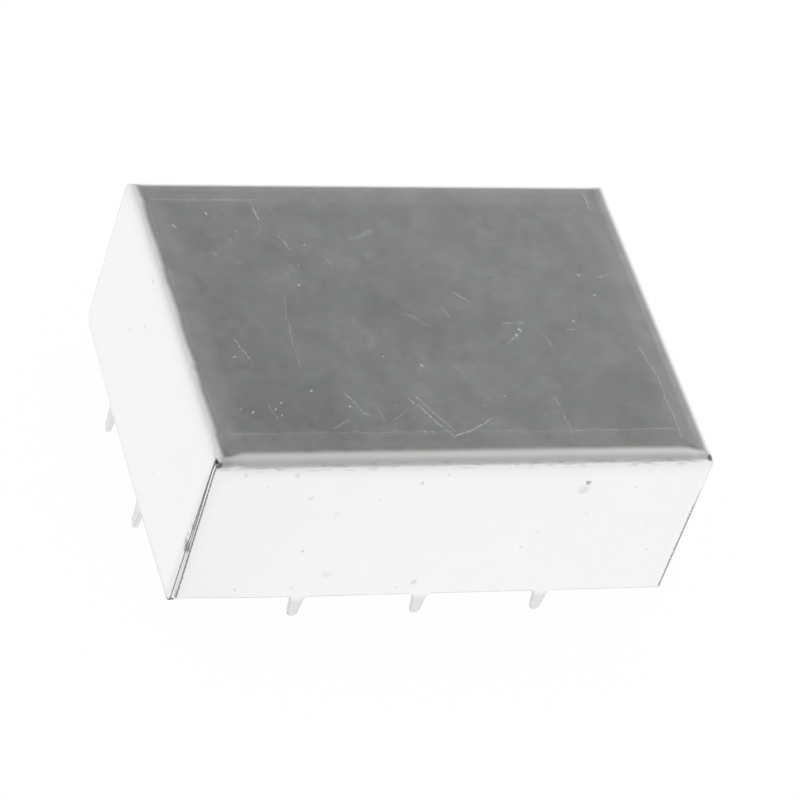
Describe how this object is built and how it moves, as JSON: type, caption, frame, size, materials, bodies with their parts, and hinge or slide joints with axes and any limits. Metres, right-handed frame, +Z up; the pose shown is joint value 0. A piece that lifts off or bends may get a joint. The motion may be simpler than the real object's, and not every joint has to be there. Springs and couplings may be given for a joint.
{
  "type": "emi shield can",
  "caption": "Shielding can folded from a sheet of tinplate, with rounded folds, butted corner seams and flat solder pins, open underneath to cover a circuit on a board.",
  "frame": {"origin": "middle of the board plane, in which the lower edges of the four walls lie", "axes": "+X along the long walls, +Y along the side walls towards the back, +Z up from the board to the top face"},
  "size_m": [0.0508, 0.0382, 0.0219],
  "materials": {
    "tinplate": "bright rolled tinplate, lightly scratched and smudged"
  },
  "bodies": {
    "root": {"shield_can": "tinplate"}
  },
  "joints": []
}
